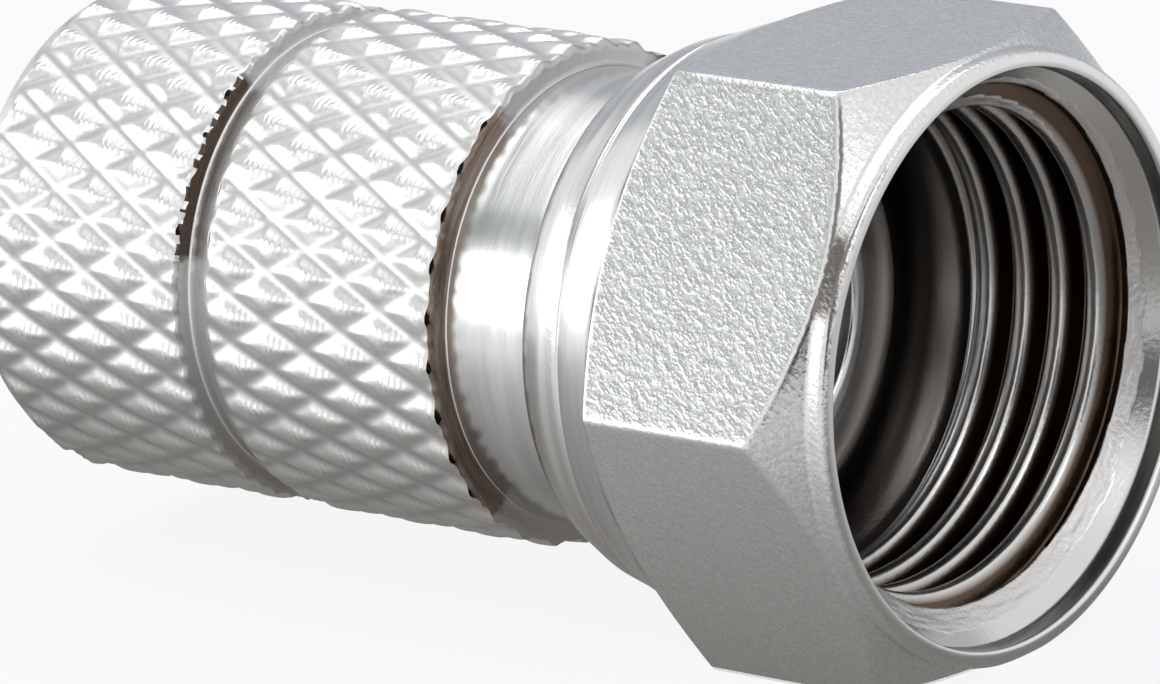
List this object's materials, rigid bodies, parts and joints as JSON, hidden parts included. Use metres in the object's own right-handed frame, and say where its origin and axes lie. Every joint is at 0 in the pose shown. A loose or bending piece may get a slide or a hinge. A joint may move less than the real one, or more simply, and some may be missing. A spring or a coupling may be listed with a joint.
{
  "type": "f connector",
  "caption": "Screw-on coaxial F connector: a knurled cable body and a hex coupling nut that turns freely on its neck.",
  "frame": {"origin": "on the connector's axis, in the body's front face, where the end of a port seats", "axes": "+X along the axis towards the nut's mouth, +Z square to the two level flats of the nut, +Y across"},
  "size_m": [0.0206, 0.0128, 0.011],
  "materials": {
    "nickel_body": "nickel plated over turned and knurled brass",
    "nickel_nut": "nickel plated over drawn hex bar and turned brass"
  },
  "bodies": {
    "body": {"body": "nickel_body"},
    "coupling_nut": {"coupling_nut": "nickel_nut"}
  },
  "joints": [
    {"name": "nut_spin", "type": "hinge", "parent": "body", "child": "coupling_nut", "pos_m": [0, 0, 0], "axis": [1, 0, 0], "continuous": true}
  ]
}
